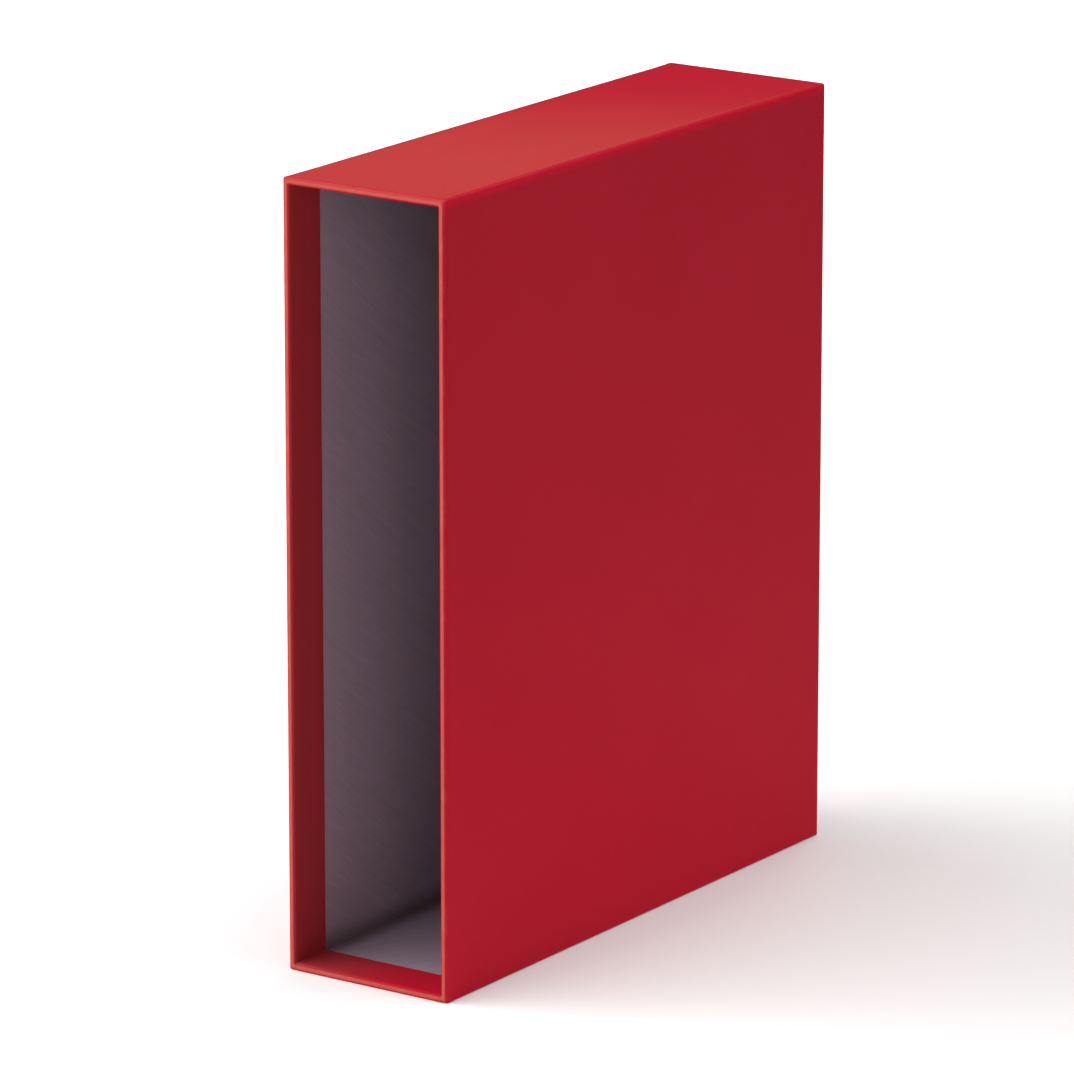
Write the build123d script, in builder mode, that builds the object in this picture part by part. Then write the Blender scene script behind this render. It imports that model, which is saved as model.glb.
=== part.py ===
# A slipcase for one upright lever-arch binder: five greyboard panels glued and taped into a
# box that is open on one narrow face, wrapped in cover paper and lined with thin paper.
#
# Frame: millimetres, +Z up, origin at the centre of the underside. The mouth faces -Y, the
# closed back faces +Y, and the two big sides face -X and +X.
#
# The papers and boards lie in layers. From the outside of a wall inwards they are the cover
# paper, a gap that holds the joint tape, the board, a gap that holds the lining, and near the
# mouth the turned-in margin of the cover paper. Every layer is found from the sizes below.

import os
from math import sqrt

from build123d import *

# Outside of the finished case
case_width = 82.0
case_depth = 290.0
case_height = 345.0

# Thickness of each sheet, and of the dried paste between two sheets
board = 2.5
cover = 0.2
lining = 0.12
tape = 0.12
paste = 0.03

# Margins and overlaps of the papers
turn_in = 22.0          # cover paper folded round the mouth and pasted inside
lap = 15.0              # cover paper folded under the base and over the back
lap_setback = 3.0       # the laps under the base start this far behind the mouth
lining_tuck = 8.0       # the lining reaches this far under the turned-in cover paper
back_margin = 1.5       # bare border round the sheet that closes the back
back_corner = 2.0       # rounded corners of that sheet
seam = 0.3              # open line between two papers that meet edge to edge
tab_play = 0.15         # side play of a paper tab that drops between two folds

# Joint tape
tape_leg = 12.0         # width of the tape on each of the two walls that it joins
tape_setback = 6.0      # from the mouth, and from the top and the base
tape_space = 1.0        # between the ends of two tapes

# Edges of the board, crushed round by pressing and no more than the board allows. The two
# long edges at the top are sanded round over the joint, so they may be rounder.
top_round = min(3.5, 1.4 * board)       # the two long edges at the top
base_round = min(1.1, 0.45 * board)     # the two long edges at the base
back_round = min(0.6, 0.25 * board)     # round the back
mouth_round = min(0.8, 0.35 * board)    # round the mouth, inside and outside

# Layers, as distances from the outside of a wrapped wall
tape_gap = tape + 2 * paste
lining_gap = lining + 2 * paste
to_tape = cover + paste
to_board = cover + tape_gap
wall = to_board + board + lining_gap + cover

# Planes of the wrap. The sheets under the base and over the back lie on its laps.
lap_step = cover + paste
side_x = case_width / 2
mouth_y = -case_depth / 2
back_y = case_depth / 2
wrap_back = back_y - lap_step
wrap_base = lap_step

# Clear space inside, between the turned-in margins
bay_x = side_x - wall
bay_floor = wrap_base + wall
bay_top = case_height - wall
turn_in_end = mouth_y + turn_in

# Faces of the boards
board_x = side_x - to_board
board_x_inner = board_x - board
board_top = case_height - to_board
board_top_inner = board_top - board
board_base = wrap_base + to_board
board_base_inner = board_base + board
board_back = wrap_back - to_board
board_back_inner = board_back - board

# A cut that has to pass right through starts and ends this far outside
overshoot = 5.0


def box_between(low, high, mode=Mode.ADD):
    """A box from its lowest to its highest corner, added to or cut from the open part."""
    centre = [(a + b) / 2 for a, b in zip(low, high)]
    size = [b - a for a, b in zip(low, high)]
    with Locations(tuple(centre)):
        Box(*size, mode=mode)


def rounded_block(inset):
    """The whole case as a closed block, with every outside face moved in by inset."""
    layer = to_board - inset
    with BuildPart() as block:
        with BuildSketch(Plane.XZ.offset(-mouth_y - inset)) as outline:
            with Locations((0, wrap_base + inset)):
                Rectangle(
                    2 * (side_x - inset),
                    case_height - wrap_base - 2 * inset,
                    align=(Align.CENTER, Align.MIN),
                )
            fillet(outline.vertices().group_by(Axis.Y)[0], base_round + layer)
            fillet(outline.vertices().group_by(Axis.Y)[-1], top_round + layer)
        extrude(amount=-(wrap_back - mouth_y - 2 * inset))
        fillet(block.faces().sort_by(Axis.Y)[-1].edges(), back_round + layer)
    return block.part


def mouth_form(outer_inset, inner_inset):
    """The block hollowed to the end of the turn-in, with the mouth's edges folded round.

    The outside faces move in by outer_inset, and the faces of the hollow move into the
    walls by inner_inset. Beyond the turn-in the form is solid.
    """
    with BuildPart() as form:
        add(rounded_block(outer_inset))
        box_between(
            (-bay_x - inner_inset, mouth_y - overshoot, bay_floor - inner_inset),
            (bay_x + inner_inset, turn_in_end, bay_top + inner_inset),
            mode=Mode.SUBTRACT,
        )
        rim = form.faces().sort_by(Axis.Y)[0]
        fillet(rim.outer_wire().edges(), mouth_round + to_board - outer_inset)
        rim = form.faces().sort_by(Axis.Y)[0]
        fillet(rim.inner_wires()[0].edges(), mouth_round + cover + lining_gap - inner_inset)
    return form.part


# The five greyboard panels. The sides run the full height and depth, the top and the base
# fit between them, and the back fits inside all four.
board_form = mouth_form(to_board, cover + lining_gap)
panel_x = board_x_inner - paste

with BuildPart() as left_side_board:
    add(board_form)
    box_between(
        (-board_x, mouth_y, 0),
        (-board_x_inner, back_y, case_height),
        mode=Mode.INTERSECT,
    )

with BuildPart() as right_side_board:
    add(board_form)
    box_between(
        (board_x_inner, mouth_y, 0),
        (board_x, back_y, case_height),
        mode=Mode.INTERSECT,
    )

with BuildPart() as top_board:
    add(board_form)
    box_between(
        (-panel_x, mouth_y, board_top_inner),
        (panel_x, back_y, case_height),
        mode=Mode.INTERSECT,
    )

with BuildPart() as base_board:
    add(board_form)
    box_between(
        (-panel_x, mouth_y, 0),
        (panel_x, back_y, board_base_inner),
        mode=Mode.INTERSECT,
    )

with BuildPart() as back_board:
    box_between(
        (-panel_x, board_back_inner, board_base_inner + paste),
        (panel_x, board_back, board_top_inner - paste),
    )

pieces = {
    "left_side_board": left_side_board,
    "right_side_board": right_side_board,
    "top_board": top_board,
    "base_board": base_board,
    "back_board": back_board,
}

# Gummed paper tape over the eight board joints. Each strip is cut from a thin shell that
# lies between the boards and the cover paper, so it follows the rounded board edge.
with BuildPart() as tape_shell:
    add(rounded_block(to_tape))
    add(rounded_block(to_tape + tape), mode=Mode.SUBTRACT)

tape_x = side_x - to_tape - tape_leg
tape_top = case_height - to_tape - tape_leg
tape_base = wrap_base + to_tape + tape_leg
tape_back = wrap_back - to_tape - tape_leg
sides = {"left": -1, "right": 1}
levels = {"top": (tape_top, case_height), "base": (0, tape_base)}


def cut_tape(low, high):
    """The part of the tape shell between two corners."""
    with BuildPart() as strip:
        add(tape_shell.part)
        box_between(low, high, mode=Mode.INTERSECT)
    return strip


for side, sign in sides.items():
    near_x, far_x = sorted((sign * tape_x, sign * side_x))
    for level, (low_z, high_z) in levels.items():
        pieces[f"{level}_{side}_tape"] = cut_tape(
            (near_x, mouth_y + tape_setback, low_z),
            (far_x, tape_back - tape_space, high_z),
        )
    pieces[f"back_{side}_tape"] = cut_tape(
        (near_x, tape_back, wrap_base + tape_setback),
        (far_x, back_y, case_height - tape_setback),
    )

for level, (low_z, high_z) in levels.items():
    pieces[f"back_{level}_tape"] = cut_tape(
        (-tape_x + tape_space, tape_back, low_z),
        (tape_x - tape_space, back_y, high_z),
    )

# The wrap: one sheet over the left side, the top and the right side. It folds round the
# mouth into the turn-in, laps over the back, and laps under the base along both sides.
lap_x = side_x - lap
mouth_fold = mouth_round + to_board
back_fold = back_round + to_board
base_fold = base_round + to_board
top_fold = top_round + to_board


def cut_mitre(start, turn, size):
    """A narrow slit that runs outwards from its start, to the left or right as the start lies."""
    outwards = Align.MIN if start[0] > 0 else Align.MAX
    with Locations(Location(start, turn)):
        Box(*size, align=(outwards, Align.CENTER, Align.CENTER), mode=Mode.SUBTRACT)


with BuildPart() as outer_wrap:
    add(mouth_form(0, 0))
    add(mouth_form(cover, cover), mode=Mode.SUBTRACT)
    # The fold and the turn-in along the base belong to the base sheet
    box_between(
        (-bay_x, mouth_y - overshoot, -overshoot),
        (bay_x, mouth_y + lap_setback, bay_floor),
        mode=Mode.SUBTRACT,
    )
    box_between(
        (-bay_x, mouth_y, wrap_base + cover),
        (bay_x, turn_in_end + overshoot, bay_floor),
        mode=Mode.SUBTRACT,
    )
    # Only the laps are left under the base and on the back
    box_between(
        (-lap_x, mouth_y - overshoot, -overshoot),
        (lap_x, back_y + overshoot, wrap_base + cover),
        mode=Mode.SUBTRACT,
    )
    box_between(
        (-lap_x, wrap_back - lap, -overshoot),
        (lap_x, back_y + overshoot, case_height - lap),
        mode=Mode.SUBTRACT,
    )
    # Mitred slits let the laps and the turn-in fold flat at their corners. Each one starts
    # just inside the open corner.
    for sign in sides.values():
        cut_mitre(
            (sign * (lap_x - seam), wrap_back, case_height - lap - seam),
            (0, -sign * 45, 0),
            ((lap + seam - top_fold) * sqrt(2), 2 * cover, seam),
        )
        cut_mitre(
            (sign * (lap_x - seam), wrap_back - lap - seam, wrap_base),
            (0, 0, sign * 45),
            ((lap + seam - base_fold) * sqrt(2), seam, 2 * cover),
        )
        cut_mitre(
            (sign * (bay_x - tab_play), turn_in_end - turn_in / 2 + mouth_fold, bay_top - tab_play),
            (0, -sign * 45, 0),
            (2 * (cover + tab_play), turn_in, tab_play),
        )

pieces["outer_wrap"] = outer_wrap

# The base sheet: it covers the underside, folds round the mouth onto the floor inside, and
# laps up the back between the laps of the wrap.
plate_x = side_x - base_fold - seam
tab_x = bay_x - tab_play
base_lap_x = lap_x - seam

with BuildPart() as base_sheet:
    with BuildSketch(Plane.YZ) as base_section:
        with BuildLine():
            FilletPolyline(
                (turn_in_end, bay_floor),
                (mouth_y, bay_floor),
                (mouth_y, 0),
                (wrap_back, 0),
                (wrap_back, lap),
                radius=[mouth_fold, mouth_fold, back_fold],
            )
            offset(amount=cover, side=Side.LEFT)
        make_face()
    extrude(amount=plate_x, both=True)
    for sign in sides.values():
        # The tab round the mouth drops between the folds of the two sides
        near_x, far_x = sorted((sign * tab_x, sign * side_x))
        box_between(
            (near_x, mouth_y - overshoot, -overshoot),
            (far_x, mouth_y + lap_setback, bay_floor + overshoot),
            mode=Mode.SUBTRACT,
        )
        box_between(
            (near_x, mouth_y - overshoot, cover),
            (far_x, turn_in_end + overshoot, bay_floor + overshoot),
            mode=Mode.SUBTRACT,
        )
        # The lap up the back drops between the laps of the wrap
        near_x, far_x = sorted((sign * base_lap_x, sign * side_x))
        box_between(
            (near_x, wrap_back - back_fold - seam, -overshoot),
            (far_x, back_y + overshoot, lap + overshoot),
            mode=Mode.SUBTRACT,
        )

pieces["base_sheet"] = base_sheet

# The back sheet covers all the laps and stops short of the edges
with BuildPart() as back_sheet:
    with BuildSketch(Plane.XZ.offset(-wrap_back - paste)):
        with Locations((0, case_height / 2)):
            RectangleRounded(
                case_width - 2 * back_margin,
                case_height - 2 * back_margin,
                radius=back_corner,
            )
    extrude(amount=-cover)

pieces["back_sheet"] = back_sheet

# The lining: a thin sheet pasted to the inner face of each board. Each starts under the
# turn-in, and the sheets meet along the inner corners.
lining_y = turn_in_end - lining_tuck
lining_x = board_x_inner - paste - lining
lining_floor = board_base_inner + paste + lining
lining_top = board_top_inner - paste - lining
lining_back = board_back_inner - paste - lining

for side, sign in sides.items():
    near_x, far_x = sorted((sign * lining_x, sign * (lining_x + lining)))
    with BuildPart() as side_lining:
        box_between(
            (near_x, lining_y, lining_floor - lining),
            (far_x, board_back_inner - paste, lining_top + lining),
        )
    pieces[f"{side}_lining"] = side_lining

with BuildPart() as floor_lining:
    box_between(
        (-lining_x + paste, lining_y, lining_floor - lining),
        (lining_x - paste, board_back_inner - paste, lining_floor),
    )

with BuildPart() as top_lining:
    box_between(
        (-lining_x + paste, lining_y, lining_top),
        (lining_x - paste, board_back_inner - paste, lining_top + lining),
    )

with BuildPart() as back_lining:
    box_between(
        (-lining_x + paste, lining_back, lining_floor + paste),
        (lining_x - paste, lining_back + lining, lining_top - paste),
    )

pieces["floor_lining"] = floor_lining
pieces["top_lining"] = top_lining
pieces["back_lining"] = back_lining

os.makedirs("parts", exist_ok=True)
for name, piece in pieces.items():
    piece.part.label = name
    export_step(piece.part, f"parts/{name}.step")
    print(f"{name}: {len(piece.part.solids())} solid, {piece.part.volume:.1f} mm3")
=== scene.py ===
# %% [markdown]
# # Dressing a binder slipcase
#
# A slipcase is a stiff paper-covered box that is open on one narrow face. A lever-arch binder
# slides into it and stands on the shelf in it. Ours is greyboard, wrapped in red satin paper
# and lined with a thin grey-violet paper. The boards, tapes and linings arrive as a packed
# CAD model that nothing here may move. This lesson gives them their finishes, and models the
# three sheets of cover paper again, because paper shows small things that plain CAD leaves out:
# it sinks between the tapes under it, and its cut edges show a pale core.

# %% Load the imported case
from math import cos, radians, sin

import bmesh
import bpy
from mathutils import Matrix, Vector, noise


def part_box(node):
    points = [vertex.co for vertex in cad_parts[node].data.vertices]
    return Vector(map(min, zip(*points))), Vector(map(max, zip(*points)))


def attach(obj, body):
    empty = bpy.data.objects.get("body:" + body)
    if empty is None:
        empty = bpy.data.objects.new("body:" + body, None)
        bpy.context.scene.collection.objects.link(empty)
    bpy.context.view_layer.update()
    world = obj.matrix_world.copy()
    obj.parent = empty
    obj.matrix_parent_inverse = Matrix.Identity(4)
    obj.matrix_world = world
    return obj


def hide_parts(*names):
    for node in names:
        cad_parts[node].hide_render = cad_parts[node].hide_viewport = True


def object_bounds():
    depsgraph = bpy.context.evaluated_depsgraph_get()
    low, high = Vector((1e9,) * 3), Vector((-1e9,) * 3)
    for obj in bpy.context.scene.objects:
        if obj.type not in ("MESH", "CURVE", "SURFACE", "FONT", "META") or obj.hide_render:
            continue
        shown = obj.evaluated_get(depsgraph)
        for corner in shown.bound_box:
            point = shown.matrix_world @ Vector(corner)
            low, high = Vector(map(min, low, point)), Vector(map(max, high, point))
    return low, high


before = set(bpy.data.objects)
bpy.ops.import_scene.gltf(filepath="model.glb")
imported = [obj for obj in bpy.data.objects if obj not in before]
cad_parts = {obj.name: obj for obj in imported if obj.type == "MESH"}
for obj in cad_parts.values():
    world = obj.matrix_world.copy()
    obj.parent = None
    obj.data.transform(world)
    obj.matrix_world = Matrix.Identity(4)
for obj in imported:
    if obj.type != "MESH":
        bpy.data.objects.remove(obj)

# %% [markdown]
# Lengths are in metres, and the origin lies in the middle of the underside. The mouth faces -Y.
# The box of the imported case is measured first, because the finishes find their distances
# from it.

cad_low, cad_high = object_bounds()
mm = 0.001
print("case size in mm:", [round((b - a) / mm, 1) for a, b in zip(cad_low, cad_high)])

# %% [markdown]
# ## The camera
#
# The picture we follow was taken from the right of the mouth and a little above the case, from
# far away: the upright edges hardly lean together. A long lens far away gives that look. Its
# place was found by fitting the seven visible corners of the case. We could aim it with a
# Track To constraint, but a plain rotation from the direction is easier to read and to keep.

# %% Camera
camera_turn = radians(34.56)        # from straight in front of the mouth, towards the right side
camera_rise = radians(15.07)
camera_place = Vector((1.76535, -2.58145, 1.00676))
picture_width = 1074
focal_in_pixels = 7492.8
sensor_in_mm = 36

towards_camera = Vector((
    sin(camera_turn) * cos(camera_rise),
    -cos(camera_turn) * cos(camera_rise),
    sin(camera_rise),
))
camera_data = bpy.data.cameras.new("camera")
camera_data.sensor_width = sensor_in_mm
camera_data.lens = focal_in_pixels / picture_width * sensor_in_mm
camera_data.clip_end = 50
camera = bpy.data.objects.new("camera", camera_data)
camera.location = camera_place
camera.rotation_mode = "QUATERNION"
camera.rotation_quaternion = (-towards_camera).to_track_quat("-Z", "Y")
bpy.context.scene.collection.objects.link(camera)
bpy.context.scene.camera = camera
print("lens in mm:", round(camera_data.lens, 1))

# %% [markdown]
# ## Writing shader maths like ordinary sums
#
# A procedural material is a net of small nodes. Placing each Math node by hand hides the idea
# behind it, so we wrap a node's output socket in a small class. Adding two wrapped sockets
# places an Add node, and `1 - mask` works as it reads.

# %% A wrapped socket
class Wire:
    """The output of a node. Sums on wires place Math nodes."""

    def __init__(self, finish, socket):
        self.finish = finish
        self.socket = socket

    def maths(self, operation, *values):
        return self.finish.add("ShaderNodeMath", {"operation": operation}, dict(enumerate(values)))

    def __add__(self, other):
        return self.maths("ADD", self, other)

    def __sub__(self, other):
        return self.maths("SUBTRACT", self, other)

    def __rsub__(self, other):
        return self.maths("SUBTRACT", other, self)

    def __mul__(self, other):
        return self.maths("MULTIPLY", self, other)

    def __abs__(self):
        return self.maths("ABSOLUTE", self)

    def larger(self, other):
        return self.maths("MAXIMUM", self, other)

    __radd__ = __add__
    __rmul__ = __mul__


# %% [markdown]
# Every other kind of node comes from one method, `add`, which takes its type, its settings, and
# what goes into its sockets. On top of it are the few moves that all our finishes share: a soft
# step, a noise of a given size, a blend of two colours, and a relief.

# %% A material under construction
class Finish:
    """A material while it is being built."""

    def __init__(self, name):
        self.material = bpy.data.materials.new(name)
        self.material.use_nodes = True
        self.tree = self.material.node_tree
        self.tree.nodes.clear()
        self.place = self.add("ShaderNodeTexCoord", output="Object")
        split = self.add("ShaderNodeSeparateXYZ", inputs={0: self.place})
        self.x, self.y, self.z = (Wire(self, output) for output in split.socket.node.outputs)

    def add(self, kind, settings=None, inputs=None, output=0):
        node = self.tree.nodes.new(kind)
        for name, value in (settings or {}).items():
            setattr(node, name, value)
        for name, value in (inputs or {}).items():
            if isinstance(value, Wire):
                self.tree.links.new(value.socket, node.inputs[name])
            else:
                node.inputs[name].default_value = value
        return Wire(self, node.outputs[output])

    def step(self, value, start, end):
        """0 below start, 1 above end, and smooth between them."""
        settings = {"interpolation_type": "SMOOTHSTEP", "clamp": True}
        return self.add("ShaderNodeMapRange", settings, {0: value, 1: start, 2: end})

    def near(self, distance, full, gone):
        """1 as far as full from a face or an edge, 0 beyond gone, and smooth between them."""
        return 1 - self.step(distance, full, gone)

    def grain(self, size, detail=3, roughness=0.5, place=None):
        """Noise whose blotches are about size metres across. It lies round 0.5."""
        inputs = {
            "Vector": place or self.place,
            "Scale": 1 / size,
            "Detail": detail,
            "Roughness": roughness,
        }
        return self.add("ShaderNodeTexNoise", {"normalize": True}, inputs)

    def stretched(self, turn, stretch):
        """Coordinates turned by angles in degrees, then scaled, for a pattern with a direction."""
        turned = self.add(
            "ShaderNodeMapping", {"vector_type": "POINT"},
            {"Vector": self.place, "Rotation": [radians(angle) for angle in turn]},
        )
        return self.add("ShaderNodeMapping", inputs={"Vector": turned, "Scale": stretch})

    def blend(self, factor, first, second):
        """A colour from first to second as factor goes from 0 to 1."""
        inputs = {}
        for socket, colour in ((6, first), (7, second)):
            inputs[socket] = colour if isinstance(colour, Wire) else (*colour, 1)
        return self.add("ShaderNodeMix", {"data_type": "RGBA"}, {0: factor, **inputs}, output=2)

    def bump(self, height, distance, below=None):
        """Relief of height times distance metres, on top of another relief."""
        inputs = {"Height": height, "Distance": distance}
        if below:
            inputs["Normal"] = below
        return self.add("ShaderNodeBump", inputs=inputs)

    def close(self, inputs):
        """The surface shader and the material's output. Returns the material."""
        surface = self.add("ShaderNodeBsdfPrincipled", inputs=inputs)
        output = self.tree.nodes.new("ShaderNodeOutputMaterial")
        self.tree.links.new(surface.socket, output.inputs["Surface"])
        print(f"{self.material.name}: {len(self.tree.nodes)} nodes")
        return self.material


# %% [markdown]
# ## The red cover paper
#
# Cover paper for stationery is dyed or printed red and has a thin satin film on it. Three
# things keep it from looking like paint: the board under it is slightly lumpy, the paper has
# fibres, and hands and binders wear the film. A few masks paint light and shade into the red
# as well: painted light on the rolled edges, painted sheen on the front fold of the top, a
# painted highlight on the rim and painted shade on the margin inside. A photo texture could
# show all this too, but noise has no seams and no resolution, and a mask that is worked out
# from the distance to a face stays on its edge. Object coordinates give these distances,
# because every piece keeps the origin of the case.

# %% Distances that the finishes measure
half_width = cad_high.x
half_depth = cad_high.y
height = cad_high.z


def from_sides(finish):
    """How far a place is from the nearer one of the two big sides."""
    return half_width - abs(finish.x)


def behind_mouth(finish):
    return finish.y + half_depth


def below_top(finish):
    return height - finish.z


# %% [markdown]
# Each kind of wear, and each band of painted light, is a mask: 1 where it is full and 0 where
# there is none. A place lies on an edge when it is near two faces at once, so an edge is the
# product of two soft steps.

# %% Wear and painted light on the outside
edge_reach = 1.6 * mm


def rubbed_edges(finish, patches):
    """The film is rubbed off along all outer edges, in patches."""
    side = finish.near(from_sides(finish), 0, edge_reach)
    end = finish.near(half_depth - abs(finish.y), 0, edge_reach)
    top_or_base = finish.near(height / 2 - abs(finish.z - height / 2), 0, edge_reach)
    edge = (side * top_or_base).larger(side * end).larger(end * top_or_base)
    return edge * (0.25 + 0.75 * patches)


def painted_light_on_rolls(finish):
    """Painted light: a brighter red on the two rolled long edges of the top."""
    side = finish.near(from_sides(finish), 0.4 * mm, 1.3 * mm)
    return side * finish.near(below_top(finish), 0, 4.8 * mm)


def painted_sheen_front(finish):
    """Painted sheen: a paler, orange red along the front fold of the top."""
    front = finish.near(behind_mouth(finish), 0.8 * mm, 1.5 * mm)
    return front * finish.near(below_top(finish), 0.6 * mm, 1.6 * mm)


# %% [markdown]
# Round the mouth two marks are painted into the colour. The flat rim gets a painted highlight,
# a pale line along the middle of the fold. The turned-in margin inside gets painted shade, a
# darker and duller red. It is strongest beside the left wall, so this mask starts under the
# outer skin, is full at the wall, and fades out across the floor and the top.

# %% Painted highlight on the rim and painted shade inside the mouth
skin = (2.2 * mm, 3.0 * mm)             # from the outer skin of a wall into the hollow
left_fade = (4 * mm, 60 * mm)           # from the left wall across the hollow
margin_end = (29 * mm, 30 * mm)         # past the end of the turned-in margin
rim_depth = (0.005 * mm, 0.06 * mm)     # the flat middle of the folded edge


# Painted highlight: a pale line along the flat middle of the rim.
def painted_rim_highlight(finish):
    return finish.near(behind_mouth(finish), *rim_depth)


# Painted shade: a darker, duller red on the turned-in margin inside the hollow.
def painted_margin_shade(finish):
    from_left = finish.x + half_width
    margin = finish.near(from_left, *left_fade) * finish.near(behind_mouth(finish), *margin_end)
    for depth in (from_left, finish.z, below_top(finish)):
        margin = margin * finish.step(depth, *skin)
    return margin


# %% [markdown]
# The finish lays these over a cloudy red, one above the other, as coats of varnish lie. The film
# has a very weak gloss: it is smooth, but its specular level is low, so only a lamp seen at a
# grazing angle shows in it.

# %% Cover paper
def make_cover_finish():
    finish = Finish("red cover paper")
    cloudy = finish.grain(60 * mm, detail=2)
    lumps = finish.grain(5 * mm, detail=2)
    fibres = finish.grain(0.5 * mm, detail=4, roughness=0.65)
    patches = finish.step(finish.grain(7 * mm, detail=5, roughness=0.7), 0.46, 0.66)
    rubbed = rubbed_edges(finish, patches)
    colour = finish.blend(cloudy, (0.425, 0.0078, 0.0215), (0.455, 0.0092, 0.0255))
    for mask, tint in (
        # painted light on the rolled long edges of the top
        (painted_light_on_rolls(finish), (0.66, 0.0095, 0.033)),
        # painted shade on the turned-in margin inside
        (painted_margin_shade(finish), (0.33, 0.0295, 0.036)),
        (finish.step(fibres, 0.35, 0.75) * 0.2, (0.32, 0.006, 0.017)),
        # painted sheen on the front fold of the top
        (painted_sheen_front(finish) * 0.85, (0.43, 0.042, 0.046)),
        (rubbed * 0.3, (0.54, 0.075, 0.06)),
        # painted highlight on the flat rim
        (painted_rim_highlight(finish) * (0.75 + 0.2 * patches), (0.50, 0.101, 0.073)),
    ):
        colour = finish.blend(mask, colour, tint)
    slanting = finish.stretched((0, 12, 64), (1, 0.05, 1))
    scuffs = finish.step(finish.grain(1.2 * mm, detail=2, place=slanting), 0.62, 0.74)
    relief = finish.bump(lumps, 0.012 * mm)
    return finish.close({
        "Base Color": colour,
        "Roughness": 0.13 + 0.04 * cloudy + 0.05 * fibres + 0.15 * rubbed + 0.06 * scuffs,
        "Normal": finish.bump(fibres, 0.006 * mm, below=relief),
        "Specular IOR Level": 0.02,
    })


cover_finish = make_cover_finish()

# %% [markdown]
# The same paper shows its core where it is cut: pale fibres that took up a little of the dye. A
# mask in the cover finish could paint the cut edges, but a material of its own is simpler,
# because the Solidify modifier can put it on a rim by itself.

# %% Cut edge of the cover paper
def make_core_finish():
    finish = Finish("cut paper edge")
    fibres = finish.grain(0.25 * mm, detail=4)
    dyed = finish.grain(3 * mm, detail=3)
    pale = finish.blend(fibres, (0.42, 0.20, 0.18), (0.60, 0.36, 0.33))
    colour = finish.blend(0.35 + 0.5 * dyed, pale, (0.38, 0.03, 0.04))
    return finish.close({
        "Base Color": colour,
        "Roughness": 0.85 + 0.1 * fibres,
        "Normal": finish.bump(fibres, 0.02 * mm),
        "Specular IOR Level": 0.25,
    })


core_finish = make_core_finish()

# %% [markdown]
# ## The lining paper
#
# The inside is lined with a thin, dull, grey-violet paper. Its long fibres lie in one direction
# and show as faint slanting streaks. Stretching the coordinates of a noise along one axis turns
# its blotches into such streaks. Each wall has its own plane, so each gets its own turn, and
# one function makes them all. Where a wall meets the floor, the paper is painted darker: painted
# shade in the corner.

# %% Lining paper
along_y = (1, 0.06, 1)      # a small scale draws the noise out along that axis
along_z = (1, 1, 0.06)
painted_corner_shade = (3.5 * mm, 14 * mm)


def make_lining_finish(name, turn, stretch):
    finish = Finish(name)
    along = finish.stretched(turn, stretch)
    streaks = finish.grain(0.9 * mm, detail=3, roughness=0.55, place=along)
    broad = finish.grain(3.5 * mm, detail=2, place=along)
    cloudy = finish.grain(30 * mm, detail=3)
    flecks = finish.step(finish.grain(0.6 * mm, detail=2), 0.60, 0.75)
    # Painted shade: the colour darkens towards the corner where a wall meets the floor.
    painted_shade_in_corner = finish.near(from_sides(finish), *painted_corner_shade) * finish.near(finish.z, *painted_corner_shade)
    body = finish.blend(0.6 * streaks + 0.4 * broad, (0.202, 0.159, 0.196), (0.386, 0.312, 0.376))
    mottled = finish.blend(cloudy * 0.5, body, (0.285, 0.22, 0.265))
    flecked = finish.blend(flecks * 0.25, mottled, (0.45, 0.39, 0.45))
    return finish.close({
        "Base Color": finish.blend(painted_shade_in_corner * 0.65, flecked, (0.09, 0.062, 0.066)),
        "Roughness": 0.78 + 0.15 * streaks,
        "Normal": finish.bump(streaks, 0.03 * mm),
        "Specular IOR Level": 0.25,
    })


lining_finishes = {
    "left_lining": make_lining_finish("lining, left wall", (35, 0, 0), along_y),
    "right_lining": make_lining_finish("lining, right wall", (-35, 0, 0), along_y),
    "floor_lining": make_lining_finish("lining, floor", (0, 0, 24), along_y),
    "top_lining": make_lining_finish("lining, top", (0, 0, -24), along_y),
    "back_lining": make_lining_finish("lining, back", (0, 26, 0), along_z),
}

# %% [markdown]
# ## Greyboard and joint tape
#
# Both are hidden under the papers, but they are pieces of their own and may be looked at alone.
# Greyboard is pressed waste paper: grey-brown with dark and pale flecks, and a matt surface. The
# flecks could be scattered one by one. The peaks of a fine noise, cut off by a soft step, look
# the same and need no seeds.

# %% Greyboard
def make_board_finish():
    finish = Finish("greyboard")
    cloudy = finish.grain(25 * mm, detail=3)
    pulp = finish.grain(1.5 * mm, detail=5, roughness=0.7)
    dark = finish.step(finish.grain(0.8 * mm, detail=2), 0.66, 0.74)
    slanting = finish.stretched((0, 0, 40), (1, 0.3, 1))
    pale = finish.step(finish.grain(1.1 * mm, detail=2, place=slanting), 0.66, 0.74)
    body = finish.blend(0.5 * cloudy + 0.5 * pulp, (0.21, 0.185, 0.155), (0.38, 0.345, 0.30))
    flecked = finish.blend(dark * 0.7, body, (0.07, 0.06, 0.06))
    return finish.close({
        "Base Color": finish.blend(pale * 0.6, flecked, (0.55, 0.52, 0.47)),
        "Roughness": 0.82 + 0.12 * pulp,
        "Normal": finish.bump(pulp, 0.05 * mm),
        "Specular IOR Level": 0.3,
    })


board_finish = make_board_finish()

# %% [markdown]
# The joint tape is brown kraft paper with long fibres and a slight shine from its gum. The eight
# strips run three ways and could have three finishes. As the papers hide them, one noise serves
# them all, drawn out mostly from the mouth to the back.

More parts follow.
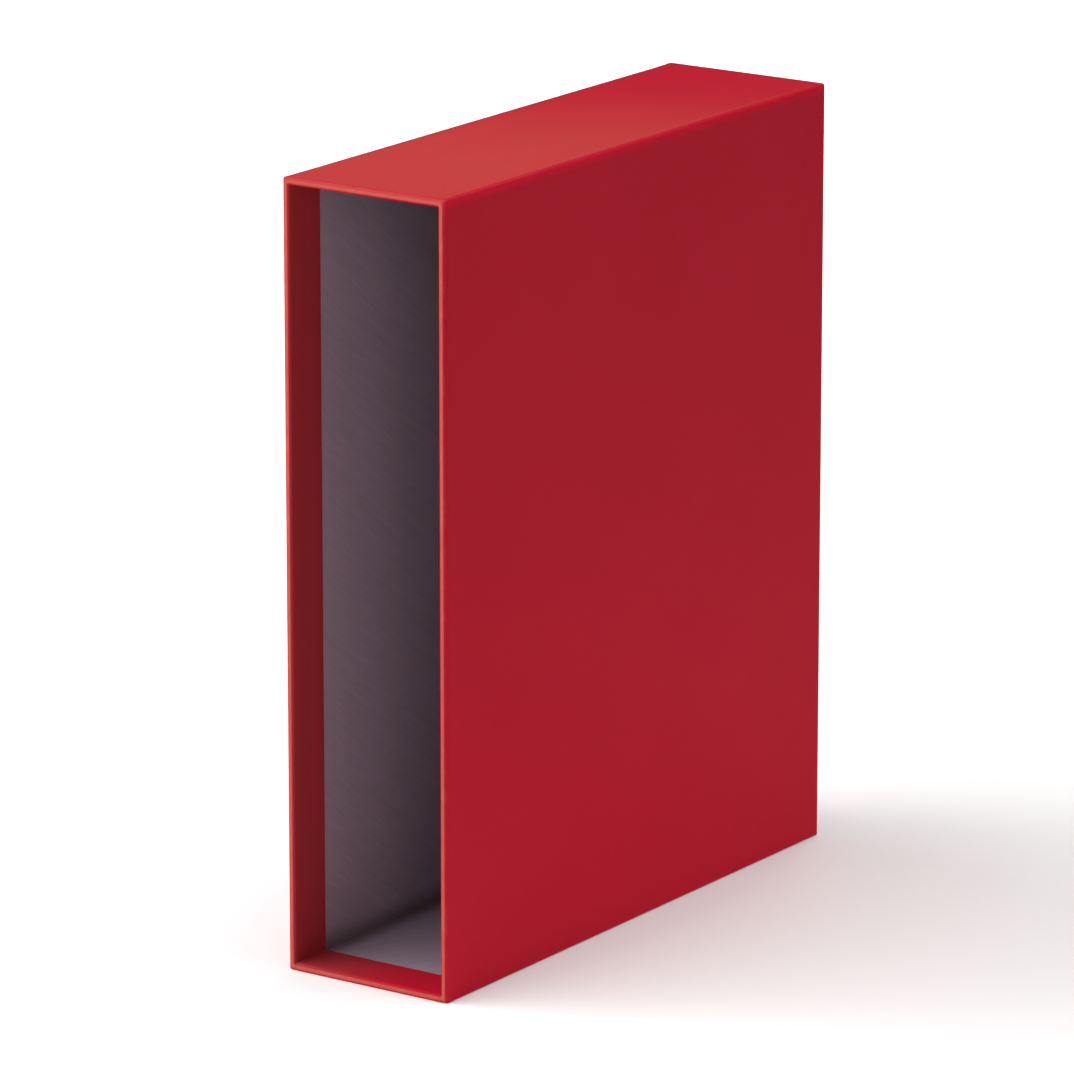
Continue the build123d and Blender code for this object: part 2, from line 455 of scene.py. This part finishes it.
# %% Joint tape
def make_tape_finish():
    finish = Finish("kraft joint tape")
    drawn_out = finish.stretched((0, 0, 0), (1, 0.12, 0.5))
    fibres = finish.grain(0.5 * mm, detail=4, place=drawn_out)
    cloudy = finish.grain(18 * mm, detail=3)
    return finish.close({
        "Base Color": finish.blend(
            0.6 * fibres + 0.4 * cloudy, (0.27, 0.155, 0.075), (0.46, 0.30, 0.165),
        ),
        "Roughness": 0.50 + 0.25 * fibres,
        "Normal": finish.bump(fibres, 0.02 * mm),
        "Specular IOR Level": 0.4,
    })


tape_finish = make_tape_finish()

# %% [markdown]
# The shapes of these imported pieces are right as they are, so each keeps its mesh, and only the
# material in its slots changes. The name of a piece tells what it is made of.

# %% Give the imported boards, tapes and linings their finishes
def finish_of(name):
    if name.endswith("_board"):
        return board_finish
    if name.endswith("_tape"):
        return tape_finish
    return lining_finishes.get(name)


finished = 0
for name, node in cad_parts.items():
    material = finish_of(name)
    if not material:
        continue
    for material_slot in node.material_slots:
        material_slot.material = material
    if not node.material_slots:
        node.data.materials.append(material)
    finished += 1
print("finished as packed:", finished)

# %% [markdown]
# ## Tools for working paper
#
# The three sheets of cover paper are made the way the paper is: a flat or folded surface first,
# with its folds bevelled round, then cut to shape, then given its thickness. A few helpers keep
# the steps readable. `crease` rounds edges, `slit` cuts all faces along a plane, and `cut_away`
# drops the faces that a sheet doesn't have.

# %% Helpers for folding and cutting
paper = 0.2 * mm
tiny = 1e-6


def level(value, target):
    return abs(value - target) < tiny


def crease(sheet, edges, radius, segments):
    bmesh.ops.bevel(
        sheet, geom=edges, offset=radius, offset_type="OFFSET", segments=segments,
        profile=0.5, affect="EDGES", clamp_overlap=False, material=-1,
    )


def slit(sheet, axis, place):
    """Cut every face along the plane where the coordinate on axis is place."""
    normal = Vector((0, 0, 0))
    normal[axis] = 1
    bmesh.ops.bisect_plane(
        sheet, geom=sheet.verts[:] + sheet.edges[:] + sheet.faces[:],
        dist=1e-7, plane_co=normal * place, plane_no=normal,
    )


def cut_away(sheet, goes):
    """Remove the faces whose centre passes the test."""
    faces = [face for face in sheet.faces if goes(face.calc_center_median())]
    bmesh.ops.delete(sheet, geom=faces, context="FACES")
    return len(faces)


# %% [markdown]
# A flat panel of one face can't be uneven. `rule` lays a row of slits over a sheet, and three
# such rows make the grid that carries the fine unevenness of real paper. The slits lie closer
# together round a mark, where the paper steps down from a tape or a lap. Subdividing the whole
# sheet that finely would give many times the faces.

# %% Ruling a sheet
grid = (
    (-36 * mm, 36 * mm, 6 * mm),        # across: start, end, step
    (-142 * mm, 142 * mm, 8 * mm),      # from the mouth to the back
    (5 * mm, 341 * mm, 8 * mm),         # upright
)
mark_offsets = (-5, -3.5, -2, -1, 0, 1, 2, 3.5, 5)
clear_of_marks = 5.5 * mm


def rule(sheet, axis, marks):
    """A row of slits along one axis, closer together round the marks."""
    start, end, step = grid[axis]
    count = round((end - start) / step)
    places = {round(start + (end - start) * i / count, 7) for i in range(count + 1)}
    for mark in marks:
        places = {place for place in places if abs(place - mark) > clear_of_marks}
        places |= {round(mark + offset * mm, 7) for offset in mark_offsets}
    for place in sorted(places):
        slit(sheet, axis, place)


# %% [markdown]
# Paper is pasted down on whatever lies under it. Over a tape or a lap it stays high, and beside
# one it sinks by the thickness of that tape or lap. `ease` gives the soft step between the two,
# and a little slow noise keeps the sunk field from being a perfect plane. A displacement texture
# could do this as well, but here the depth follows from the places of the tapes.

# %% Helpers for sinking paper
def ease(distance, run=2.5 * mm):
    """0 up to half a run before an edge, 1 from half a run past it, and smooth between."""
    share = max(0.0, min(1.0, (distance + 0.5 * run) / run))
    return share * share * (3 - 2 * share)


def waver(place, size):
    return noise.noise(place / size)


def press_in(sheet, depth_at):
    """Move every vertex against its normal by the depth found for its place."""
    sheet.normal_update()
    moves = [(vert, vert.normal.copy(), depth_at(vert.co)) for vert in sheet.verts]
    for vert, normal, depth in moves:
        vert.co -= normal * depth
    deepest = max(depth for _, _, depth in moves)
    print("sinks by up to", round(deepest / mm, 3), "mm")


# %% [markdown]
# A finished surface becomes a piece. Solidify gives it its thickness inwards, so the outer
# surface stays where it was made, and puts the cut core on the new rim. The modifier is applied
# at once. Faces are smooth, with sharp edges wherever two of them meet at more than 35 degrees.

# %% From a surface to a piece of the case
sharp_angle = radians(35)


def thicken(name, sheet):
    mesh = bpy.data.meshes.new(name)
    sheet.to_mesh(mesh)
    sheet.free()
    piece = bpy.data.objects.new(name, mesh)
    bpy.context.scene.collection.objects.link(piece)
    mesh.materials.append(cover_finish)
    mesh.materials.append(core_finish)
    thickness = piece.modifiers.new("thickness", "SOLIDIFY")
    thickness.thickness = paper
    thickness.offset = -1
    thickness.use_even_offset = True
    thickness.material_offset_rim = 1
    state = bpy.context.evaluated_depsgraph_get()
    piece.data = bpy.data.meshes.new_from_object(piece.evaluated_get(state))
    piece.modifiers.clear()
    for polygon in piece.data.polygons:
        polygon.use_smooth = True
    piece.data.set_sharp_from_angle(angle=sharp_angle)
    print(f"{name}: {len(piece.data.polygons)} faces")
    return piece


# %% [markdown]
# ## The wrap
#
# One large sheet covers the left side, the top and the right side. It folds round the mouth
# into the hollow, and laps over the back and under the base. It is tempting to build it from
# panels, but then every edge needs a joint. A block does better: its long edges are bevelled
# round, the mouth face is extruded in place and drawn in to the size of the hollow, and
# extruded again down into it. What the sheet doesn't cover is cut away at the end.

# %% The block
wall = 3.26 * mm
turn_in = 22 * mm
top_fold = 3.88 * mm
base_fold = 1.48 * mm
mouth_fold = 1.18 * mm
back_fold = 0.98 * mm
corner_slit = 0.15 * mm
fold_segments = 6

wrap_low, wrap_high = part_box("outer_wrap")
mouth_y = wrap_low.y
hollow_x = half_width - wall
hollow_floor = wrap_low.z + wall
hollow_top = wrap_high.z - wall


def between(low, high):
    """The matrix that makes a unit cube fill the box from low to high."""
    return Matrix.LocRotScale((low + high) / 2, None, high - low)


def long_edges(sheet, z):
    """The two edges at height z that run from the mouth to the back."""
    return [
        edge for edge in sheet.edges
        if all(level(vert.co.z, z) for vert in edge.verts)
        and edge.verts[0].co.x * edge.verts[1].co.x > 0
    ]


wrap = bmesh.new()
bmesh.ops.create_cube(wrap, size=1, matrix=between(wrap_low, wrap_high))
crease(wrap, long_edges(wrap, wrap_high.z), top_fold, 2 * fold_segments)
crease(wrap, long_edges(wrap, wrap_low.z), base_fold, 2 * fold_segments)
back_edges = [edge for edge in wrap.edges if all(level(v.co.y, wrap_high.y) for v in edge.verts)]
crease(wrap, back_edges, back_fold, fold_segments)
print("block:", len(wrap.faces), "faces")

# %% [markdown]
# The mouth face has rounded corners, so an inset would tangle there: the wall is thicker than
# the corner radius. Instead the face is extruded in place, and the vertices of each corner are
# scaled about the centre of their arc and moved to the corner of the hollow. They keep a tiny
# arc, the slit that lets the paper fold flat there.

# %% The mouth and the turn-in
mouth_face = next(face for face in wrap.faces if all(level(v.co.y, mouth_y) for v in face.verts))
rim_face = bmesh.ops.extrude_discrete_faces(wrap, faces=[mouth_face])["faces"][0]

for side in (-1, 1):
    for upper, radius in ((True, top_fold), (False, base_fold)):
        edge_z = wrap_high.z - radius if upper else wrap_low.z + radius
        middle = Vector((side * (half_width - radius), mouth_y, edge_z))
        inner_z = hollow_top - corner_slit if upper else hollow_floor + corner_slit
        target = Vector((side * (hollow_x - corner_slit), mouth_y, inner_z))
        corner = [
            vert for vert in rim_face.verts
            if vert.co.x * side > 0 and (vert.co.z > height / 2) == upper
        ]
        shrink = Vector((corner_slit / radius, 1, corner_slit / radius))
        bmesh.ops.scale(wrap, vec=shrink, space=Matrix.Translation(-middle), verts=corner)
        bmesh.ops.translate(wrap, vec=target - middle, verts=corner)

inner_face = bmesh.ops.extrude_discrete_faces(wrap, faces=[rim_face])["faces"][0]
bmesh.ops.translate(wrap, vec=(0, turn_in, 0), verts=inner_face.verts)
bmesh.ops.delete(wrap, geom=[inner_face], context="FACES_ONLY")

# %% [markdown]
# The sheet now meets the plane of the mouth squarely, outside and inside. Both rings of edges
# are bevelled into the fold that a finger feels as the rounded rim.

# %% Round the rim
def square_edges(sheet):
    """Edges in the plane of the mouth where two faces meet squarely."""
    return [
        edge for edge in sheet.edges
        if all(level(vert.co.y, mouth_y) for vert in edge.verts)
        and abs(edge.link_faces[0].normal.dot(edge.link_faces[1].normal)) < 0.3
    ]


wrap.normal_update()
crease(wrap, square_edges(wrap), mouth_fold, fold_segments)
print("wrap with its mouth:", len(wrap.faces), "faces")

# %% [markdown]
# The long edges aren't quite circles: the paper is pulled tight over the joint of two boards.
# Moving the vertices of an edge outwards, from a circle towards a square, makes it crisper
# without new faces. At the mouth and the back the paper goes round the ends of the boards, and
# the last few millimetres are crisper still, so a few slits let the form change quickly there.

# %% Crisper ends for the long edges
crisp_at_mouth = 6.9
crisp_at_back = 4.4
crisper_ends = 5
end_run = 12 * mm


def squareness(y):
    """The power of the curve. 2 is a circle, and larger is crisper."""
    from_mouth = y - mouth_y
    from_back = wrap_high.y - y
    share = from_mouth / (from_mouth + from_back)
    end = max(1 - from_mouth / end_run, 1 - from_back / end_run, 0)
    return crisp_at_mouth + (crisp_at_back - crisp_at_mouth) * share + crisper_ends * end * end


for from_end in (0.25 * end_run, 0.5 * end_run, end_run):
    slit(wrap, 1, mouth_y + from_end)
    slit(wrap, 1, wrap_high.y - from_end)

for vert in wrap.verts:
    upper = vert.co.z > height / 2
    radius = top_fold if upper else base_fold
    middle_z = wrap_high.z - radius if upper else wrap_low.z + radius
    out = abs(vert.co.x) - (half_width - radius)
    up = abs(vert.co.z - middle_z) if (vert.co.z > middle_z) == upper else 0
    reach = (out * out + up * up) ** 0.5
    if out > tiny and up > tiny and reach > radius - mouth_fold - tiny:
        power = squareness(vert.co.y)
        grow = 1 / ((out / reach) ** power + (up / reach) ** power) ** (1 / power)
        vert.co.x += (1 if vert.co.x > 0 else -1) * out * (grow - 1)
        vert.co.z += (1 if upper else -1) * up * (grow - 1)

crispness = [round(squareness(y), 1) for y in (mouth_y, 0, wrap_high.y)]
print("crispness at the mouth, half way and at the back:", crispness)

# %% [markdown]
# Now the grid of slits. It has marks where a tape or the lining ends under the sheet, and slits
# along every line where the sheet will be cut.

# %% Rule the wrap
lap = 15 * mm
lap_setback = 3 * mm
tape_reach = 12.23 * mm     # 12 mm of tape, the cover paper and a film of paste
tape_edge_x = half_width - tape_reach
tape_edge_top = wrap_high.z - tape_reach
tape_edge_base = wrap_low.z + tape_reach
tape_edge_back = wrap_high.y - tape_reach
lining_start = mouth_y + 14 * mm
lap_x = half_width - lap
tab_x = hollow_x - corner_slit

for place in (-hollow_x, -tab_x, -lap_x, lap_x, tab_x, hollow_x):
    slit(wrap, 0, place)
rule(wrap, 0, (-tape_edge_x, tape_edge_x))
rule(wrap, 1, (lining_start, tape_edge_back))
slit(wrap, 1, mouth_y + lap_setback)
slit(wrap, 1, wrap_high.y - lap)
rule(wrap, 2, (tape_edge_base, tape_edge_top))
slit(wrap, 2, wrap_high.z - lap)
slit(wrap, 2, hollow_floor + corner_slit)
print("ruled wrap:", len(wrap.faces), "faces")

# %% [markdown]
# The base sheet has the underside, the fold under the mouth and the fold between the base and
# the back, and the back sheet has the back. Each test below names one patch of the block that
# the wrap leaves to them, by where the centre of a face lies.

# %% Cut the wrap to shape
def left_to_other_sheets(centre):
    under = level(centre.z, wrap_low.z)
    behind = level(centre.y, wrap_high.y)
    across_hollow = abs(centre.x) < hollow_x
    across_plate = abs(centre.x) < lap_x
    low_in_hollow = centre.z < hollow_floor + corner_slit

    mouth_strip = across_hollow and low_in_hollow and centre.y < mouth_y + mouth_fold
    setback = across_hollow and under and centre.y < mouth_y + lap_setback
    turned_in_floor = abs(centre.x) < tab_x and low_in_hollow and centre.z > hollow_floor - tiny
    plate = across_plate and under
    window = across_plate and behind and centre.z < wrap_high.z - lap
    low_behind = across_plate and centre.z < wrap_low.z + lap and centre.y > wrap_high.y - lap
    return mouth_strip or setback or turned_in_floor or plate or window or low_behind


print("cut away:", cut_away(wrap, left_to_other_sheets), "faces")

# %% [markdown]
# Between the tapes the sides and the top sink by the thickness of a tape. The slope is much
# wider than the tape's edge, because the paper bridges it. The turned-in margin lies on the
# lining, and sinks a little in front of it.

# %% Sink the wrap between the tapes
tape_step = 0.07 * mm
margin_step = 0.10 * mm
soft = 9 * mm


def sunk_margin(place):
    """How far the turned-in margin sinks between the fold and the start of the lining."""
    return margin_step * ease(place.y - mouth_y - 5 * mm) * ease(lining_start - place.y)


def wrap_depth(place):
    """How far the wrap sinks: not over the middle of a tape, and not at a fold."""
    down_sides = ease(tape_edge_top - place.z, soft) * ease(place.z - tape_edge_base, soft)
    across = ease(tape_edge_x - abs(place.x), soft)
    along = ease(place.y - (mouth_y + 6 * mm), soft) * ease(tape_edge_back - place.y, soft)
    unevenness = 0.03 * mm * waver(place, 45 * mm) + 0.012 * mm * waver(place, 14 * mm)
    sunk = tape_step + unevenness
    if abs(place.x) > hollow_x + wall / 2:
        return sunk * down_sides * along
    if place.z > hollow_top + wall / 2:
        return sunk * across * along
    inside = mouth_y + 2 * mouth_fold < place.y < mouth_y + turn_in + tiny
    if inside and place.z > hollow_floor:
        return sunk_margin(place)
    return 0.0


press_in(wrap, wrap_depth)
wrap_piece = thicken("wrap", wrap)
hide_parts("outer_wrap")
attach(wrap_piece, "root")

# %% [markdown]
# ## The base sheet
#
# The second sheet starts on the floor inside the mouth, folds round the front edge, runs under
# the whole base and ends in a lap up the back. Cut from a second block, it would keep little of
# it. A strip extruded from a folded line has just its shape, and its folds are the edges that
# have a face on both sides.

# %% Fold the base sheet
base_low, base_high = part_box("base_sheet")


def folds_of(sheet, behind):
    """The folds in the back half of a folded strip, or those in its front half."""
    return [
        edge for edge in sheet.edges
        if len(edge.link_faces) == 2 and (edge.verts[0].co.y > 0) == behind
    ]


base = bmesh.new()
folded_line = [
    (mouth_y + turn_in, hollow_floor),
    (mouth_y, hollow_floor),
    (mouth_y, base_low.z),
    (wrap_high.y, base_low.z),
    (wrap_high.y, max(base_high.z, lap)),
]
corners = [base.verts.new((base_low.x, y, z)) for y, z in folded_line]
line = [base.edges.new(pair) for pair in zip(corners, corners[1:])]
swept = bmesh.ops.extrude_edge_only(base, edges=line)["geom"]
far_side = [item for item in swept if isinstance(item, bmesh.types.BMVert)]
bmesh.ops.translate(base, vec=(base_high.x - base_low.x, 0, 0), verts=far_side)
crease(base, folds_of(base, behind=False), mouth_fold, fold_segments)
crease(base, folds_of(base, behind=True), back_fold, fold_segments)
print("base sheet:", len(base.faces), "faces")

# %% [markdown]
# It is narrower where it drops between the sides of the wrap: at the mouth as a tab, and up the
# back as a lap between two laps. Two cuts trim it there.

# %% Trim the base sheet
seam = 0.3 * mm
base_lap_x = lap_x - seam
base_lap_start = wrap_high.y - back_fold - seam

for place in (-tab_x, -base_lap_x, base_lap_x, tab_x):
    slit(base, 0, place)
rule(base, 0, (-lap_x, lap_x))
rule(base, 1, (lining_start,))
slit(base, 1, mouth_y + lap_setback)
slit(base, 1, base_lap_start)


def trimmed(centre):
    beside_tab = abs(centre.x) > tab_x and (centre.y < mouth_y + lap_setback or centre.z > paper)
    beside_lap = abs(centre.x) > base_lap_x and centre.y > base_lap_start
    return beside_tab or beside_lap


print("trimmed:", cut_away(base, trimmed), "faces")

# %% [markdown]
# Under the base, the sheet sinks between the laps of the wrap. A strip that was extruded from a
# line may face either way, so its normals are made to agree, and turned over if the underside
# looks up.

# %% Sink the base sheet
plate_step = 0.28 * mm
plate_edge = 6 * mm


def base_depth(place):
    if place.z < base_low.z + tiny:
        field = ease(lap_x - abs(place.x)) * ease(place.y - mouth_y - plate_edge)
        field *= ease(wrap_high.y - plate_edge - place.y)
        return (plate_step + 0.05 * mm * waver(place, 40 * mm)) * field
    if place.z > hollow_floor - tiny and place.y > mouth_y + 2 * mouth_fold:
        return sunk_margin(place)
    return 0.0


bmesh.ops.recalc_face_normals(base, faces=base.faces)
lowest = min(base.faces, key=lambda face: face.calc_center_median().z)
if lowest.normal.z > 0:
    bmesh.ops.reverse_faces(base, faces=base.faces)
press_in(base, base_depth)
base_piece = thicken("base_paper", base)
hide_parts("base_sheet")
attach(base_piece, "root")

# %% [markdown]
# ## The back sheet
#
# The last sheet closes the back over all the laps, and stops just short of the edges. It is
# one flat face with its corners rounded by a vertex bevel, which is less work than placing the
# vertices of four arcs. The laps under it show through as a raised border, so the middle of the
# sheet sinks by their thickness.

# %% Back sheet
back_low, back_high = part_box("back_sheet")
back_corner = 2 * mm
window_step = 0.26 * mm

back = bmesh.new()
outline = [
    back.verts.new((x, back_high.y, z))
    for x, z in (
        (back_low.x, back_low.z), (back_low.x, back_high.z),
        (back_high.x, back_high.z), (back_high.x, back_low.z),
    )
]
back.faces.new(outline)
bmesh.ops.bevel(
    back, geom=back.verts[:], offset=back_corner, offset_type="OFFSET", segments=fold_segments,
    profile=0.5, affect="VERTICES", clamp_overlap=False, material=-1,
)
rule(back, 0, (-lap_x, lap_x))
rule(back, 2, (wrap_low.z + lap, wrap_high.z - lap))


def back_depth(place):
    across = ease(lap_x - abs(place.x))
    upright = ease(wrap_high.z - lap - place.z) * ease(place.z - lap)
    return (window_step + 0.05 * mm * waver(place, 50 * mm)) * across * upright


bmesh.ops.recalc_face_normals(back, faces=back.faces)
if back.faces[:][0].normal.y < 0:
    bmesh.ops.reverse_faces(back, faces=back.faces)
press_in(back, back_depth)
back_piece = thicken("back_paper", back)
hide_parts("back_sheet")
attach(back_piece, "root")

# %% [markdown]
# ## Floor
#
# The floor is a plain, nearly white studio floor, large enough to fill the picture from every
# side. A backdrop that curves up behind the case would do too, but it would be in the way of
# the views from behind. The floor lies a hair under the case, because two faces in one plane
# come out speckled.

# %% Floor
floor_reach = 20        # to each side
floor_drop = 0.02 * mm

floor_sheet = bmesh.new()
bmesh.ops.create_grid(floor_sheet, x_segments=8, y_segments=8, size=floor_reach)
bmesh.ops.translate(floor_sheet, vec=(0, 0, -floor_drop), verts=floor_sheet.verts)
floor_mesh = bpy.data.meshes.new("floor")
floor_sheet.to_mesh(floor_mesh)
floor_sheet.free()
floor = bpy.data.objects.new("floor", floor_mesh)
bpy.context.scene.collection.objects.link(floor)


def make_floor_finish():
    finish = Finish("studio floor")
    cloudy = finish.grain(400 * mm, detail=2)
    return finish.close({
        "Base Color": finish.blend(cloudy, (0.91, 0.91, 0.91), (0.93, 0.93, 0.93)),
        "Roughness": 0.7 + 0.1 * cloudy,
        "Specular IOR Level": 0.2,
    })


floor_mesh.materials.append(make_floor_finish())

# %% [markdown]
# ## Light
#
# Soft studio light comes from area lamps, most of them large, and each has its task. Two stand
# to the left in front of the mouth and light the rim, and a third reaches the rim and the floor
# of the hollow from high up. Two hang overhead for the top and the ground. A weak one beside the
# camera lights the right side and, through the mouth, the lining. A small one near the ground
# makes the right side a little brighter towards its foot. One more brightens the ground behind,
# and shines steeply down so that it doesn't show in the rolled edge of the top. The last is a
# narrow warm strip close behind the top: the satin film mirrors it, and that gives the top its
# warm sheen. A single large lamp would be simpler, but then the top, the side and the inside
# couldn't be balanced.

# %% Lamps
case_middle = (0, 0, 0.17)


def add_lamp(name, place, size, watts, target=case_middle, spread=180, tint=(1, 1, 1)):
    data = bpy.data.lights.new(name, "AREA")
    data.shape = "RECTANGLE"
    data.size, data.size_y = size
    data.energy = watts
    data.spread = radians(spread)
    data.color = tint
    lamp = bpy.data.objects.new(name, data)
    lamp.location = place
    lamp.rotation_mode = "QUATERNION"
    lamp.rotation_quaternion = (Vector(target) - Vector(place)).to_track_quat("-Z", "Y")
    lamp.visible_camera = False
    bpy.context.scene.collection.objects.link(lamp)
    print(f"lamp, {name}: {watts} W")


add_lamp("key", (-2.7, -0.9, 1.8), (2.6, 2.6), 60)
add_lamp("left front", (-2.2, -1.6, 1.5), (2.2, 2.2), 60)
add_lamp("high front", (-0.6, -2.2, 3.0), (1.4, 1.4), 36)
add_lamp("overhead right", (1.2, 0.6, 3.8), (3.0, 3.0), 75)
add_lamp("overhead left", (-0.4, 0.8, 4.0), (3.0, 3.0), 20)
add_lamp("beside the camera", (1.5, -2.3, 1.2), (1.6, 1.6), 14.5)
add_lamp(
    "low right", (1.7, 0.35, 0.30), (0.5, 0.3), 0.22,
    target=(0.04, 0.04, -0.12), spread=25,
)
add_lamp(
    "background", (-0.9, 2.4, 1.6), (1.6, 1.6), 14,
    target=(-0.9, 1.9, 0.0), spread=84,
)
add_lamp(
    "sheen", (-0.153, 0.2225, 0.4275), (0.7, 0.055), 0.0062,
    target=(0.0, 0.0, 0.3552), spread=60, tint=(1.0, 0.97, 0.5),
)

# %% [markdown]
# A weak white world fills the shadows. The Standard view transform keeps the red as saturated
# as it is mixed, where the default one would soften it, and lets the floor reach pure white.

# %% World
world = bpy.data.worlds.new("studio")
world.use_nodes = True
background = world.node_tree.nodes["Background"]
background.inputs["Color"].default_value = (1, 1, 1, 1)
background.inputs["Strength"].default_value = 0.06
bpy.context.scene.world = world
bpy.context.scene.view_settings.view_transform = "Standard"
print("world strength:", round(background.inputs["Strength"].default_value, 2))
